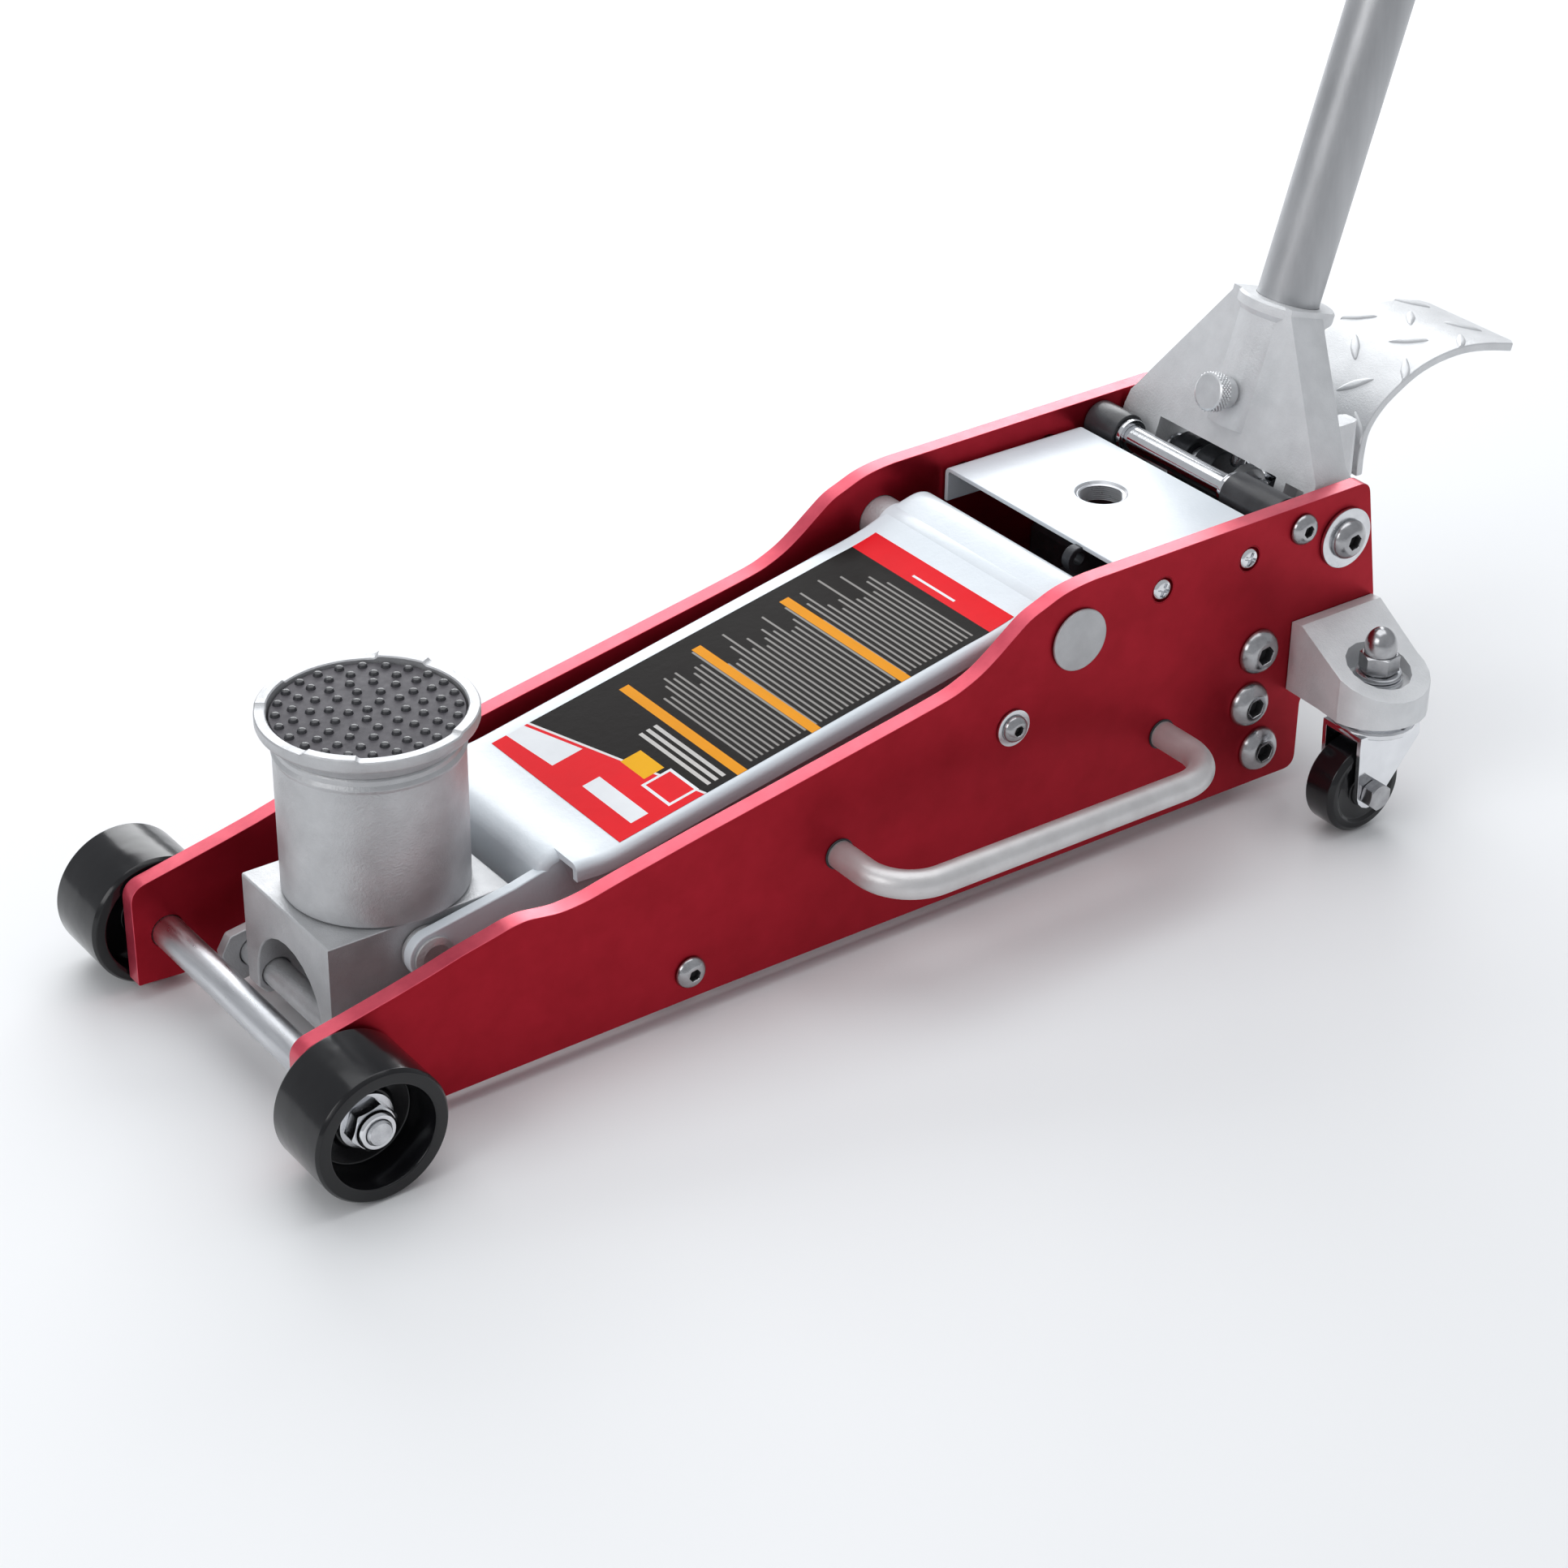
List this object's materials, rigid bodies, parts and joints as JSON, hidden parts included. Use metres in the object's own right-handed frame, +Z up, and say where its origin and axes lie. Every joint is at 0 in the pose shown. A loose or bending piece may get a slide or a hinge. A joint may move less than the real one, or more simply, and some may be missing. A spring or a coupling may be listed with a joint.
{
  "type": "trolley jack",
  "caption": "Low-profile hydraulic trolley jack with red anodised side plates, white lift arm, saddle on an extension adapter, foot pedal, pump handle and swivel casters.",
  "frame": {"origin": "centre of the bounding box in plan, on the floor under the wheels", "axes": "+X points from the saddle end to the handle end, +Y to the far side plate, +Z up; the jack is lowered with its handle up"},
  "size_m": [0.9242, 0.308, 1.1047],
  "materials": {
    "red_anodised": "satin red anodised, fine blasted grain",
    "cast_silver": "cast aluminium with a satin silver coat",
    "white_paint": "smooth off-white enamel on sheet steel",
    "zinc": "bright zinc plated steel",
    "dark_steel": "dark painted steel",
    "black_wheel": "glossy black moulded polymer",
    "black_sleeve": "dark grey moulded sleeve",
    "saddle_rubber": "dark rubber with moulded studs",
    "grip_rubber": "black soft grip",
    "satin_tube": "satin silver tube"
  },
  "bodies": {
    "chassis": {"side_plate_near": "red_anodised", "side_plate_far": "red_anodised", "front_axle": "zinc", "wheel_nut_near": "zinc", "wheel_nut_far": "zinc", "tie_bolt_front": "zinc", "lift_pivot_shaft": "cast_silver", "link_bolt_near": "zinc", "link_bolt_far": "zinc", "rear_cross_shaft": "zinc", "shaft_sleeve_near": "black_sleeve", "shaft_sleeve_far": "black_sleeve", "handle_pivot_bolt_near": "zinc", "handle_pivot_bolt_far": "zinc", "cover_plate": "white_paint", "power_unit": "dark_steel", "lift_cylinder": "dark_steel", "caster_bracket_near": "cast_silver", "caster_bracket_far": "cast_silver", "carry_handle_near": "satin_tube", "carry_handle_far": "satin_tube"},
    "wheel_near": {"front_wheel_near": "black_wheel"},
    "wheel_far": {"front_wheel_far": "black_wheel"},
    "arm": {"lift_arm": "white_paint"},
    "link_near": {"parallel_link_near": "dark_steel"},
    "link_far": {"parallel_link_far": "dark_steel"},
    "head": {"lift_head": "cast_silver", "head_pin_near": "cast_silver", "head_pin_far": "cast_silver", "link_rod": "dark_steel", "saddle_adapter": "cast_silver"},
    "saddle_cup": {"saddle": "cast_silver", "saddle_pad": "saddle_rubber"},
    "ram_rod": {"ram": "zinc", "ram_crosshead": "dark_steel"},
    "yoke": {"handle_yoke": "cast_silver", "pump_roller": "zinc", "foot_pedal": "cast_silver"},
    "piston_near": {"pump_piston_near": "zinc"},
    "piston_far": {"pump_piston_far": "zinc"},
    "handle": {"handle_lower": "satin_tube", "handle_upper": "satin_tube", "handle_grip": "grip_rubber", "handle_bumper": "grip_rubber", "release_rod": "zinc"},
    "valve": {"release_spindle": "zinc"},
    "screw": {"thumb_screw": "zinc"},
    "swivel_near": {"caster_fork_near": "zinc", "acorn_nut_near": "zinc", "caster_axle_near": "zinc"},
    "swivel_far": {"caster_fork_far": "zinc", "acorn_nut_far": "zinc", "caster_axle_far": "zinc"},
    "roll_near": {"caster_wheel_near": "black_wheel"},
    "roll_far": {"caster_wheel_far": "black_wheel"}
  },
  "joints": [
    {"name": "lift", "type": "hinge", "parent": "chassis", "child": "arm", "pos_m": [-0.02148, 0, 0.1292], "axis": [0, 1, 0], "range_deg": [0, 70]},
    {"name": "link_swing_near", "type": "hinge", "parent": "chassis", "child": "link_near", "pos_m": [-0.05968, -0.052, 0.0934], "axis": [0, 1, 0], "range_deg": [0, 70]},
    {"name": "link_swing_far", "type": "hinge", "parent": "chassis", "child": "link_far", "pos_m": [-0.05968, 0.052, 0.0934], "axis": [0, 1, 0], "range_deg": [0, 70]},
    {"name": "head_level", "type": "hinge", "parent": "arm", "child": "head", "pos_m": [-0.35958, 0, 0.058], "axis": [0, 1, 0], "range_deg": [-70, 0]},
    {"name": "saddle_swivel", "type": "hinge", "parent": "head", "child": "saddle_cup", "pos_m": [-0.35968, 0, 0.15], "axis": [0, 0, 1], "continuous": true},
    {"name": "ram_stroke", "type": "slide", "parent": "chassis", "child": "ram_rod", "axis": [-1, 0, 0], "range_m": [0, 0.05736]},
    {"name": "pump", "type": "hinge", "parent": "chassis", "child": "yoke", "pos_m": [0.15022, 0, 0.1346], "axis": [0, 1, 0], "range_deg": [0, 50]},
    {"name": "piston_stroke_near", "type": "slide", "parent": "chassis", "child": "piston_near", "axis": [0, 0, -1], "range_m": [0, 0.0186]},
    {"name": "piston_stroke_far", "type": "slide", "parent": "chassis", "child": "piston_far", "axis": [0, 0, -1], "range_m": [0, 0.0186]},
    {"name": "release_twist", "type": "hinge", "parent": "yoke", "child": "handle", "pos_m": [0.15022, 0, 0.1346], "axis": [0.2924, 0, 0.9563], "range_deg": [0, 180]},
    {"name": "valve_turn", "type": "hinge", "parent": "chassis", "child": "valve", "pos_m": [0.15022, 0, 0.1], "axis": [0, 0, 1], "range_deg": [0, 180]},
    {"name": "thumb_screw_travel", "type": "slide", "parent": "yoke", "child": "screw", "axis": [-0.9563, 0, 0.2924], "range_m": [0, 0.006]},
    {"name": "wheel_roll_near", "type": "hinge", "parent": "chassis", "child": "wheel_near", "pos_m": [-0.42958, -0.103, 0.0325], "axis": [0, 1, 0], "continuous": true},
    {"name": "wheel_roll_far", "type": "hinge", "parent": "chassis", "child": "wheel_far", "pos_m": [-0.42958, 0.103, 0.0325], "axis": [0, 1, 0], "continuous": true},
    {"name": "caster_swivel_near", "type": "hinge", "parent": "chassis", "child": "swivel_near", "pos_m": [0.13642, -0.128, 0.062], "axis": [0, 0, 1], "continuous": true},
    {"name": "caster_roll_near", "type": "hinge", "parent": "swivel_near", "child": "roll_near", "pos_m": [0.12582, -0.128, 0.024], "axis": [0, 1, 0], "continuous": true},
    {"name": "caster_swivel_far", "type": "hinge", "parent": "chassis", "child": "swivel_far", "pos_m": [0.13642, 0.128, 0.062], "axis": [0, 0, 1], "continuous": true},
    {"name": "caster_roll_far", "type": "hinge", "parent": "swivel_far", "child": "roll_far", "pos_m": [0.12582, 0.128, 0.024], "axis": [0, 1, 0], "continuous": true}
  ],
  "couplings": [
    {"joint": "link_swing_near", "follows": "lift", "ratio": 1},
    {"joint": "link_swing_far", "follows": "lift", "ratio": 1},
    {"joint": "head_level", "follows": "lift", "ratio": -1},
    {"joint": "ram_stroke", "follows": "lift", "m_per_rad": 0.046948},
    {"joint": "piston_stroke_near", "follows": "pump", "m_per_rad": 0.021309},
    {"joint": "piston_stroke_far", "follows": "pump", "m_per_rad": 0.021309},
    {"joint": "valve_turn", "follows": "release_twist", "ratio": 1}
  ]
}
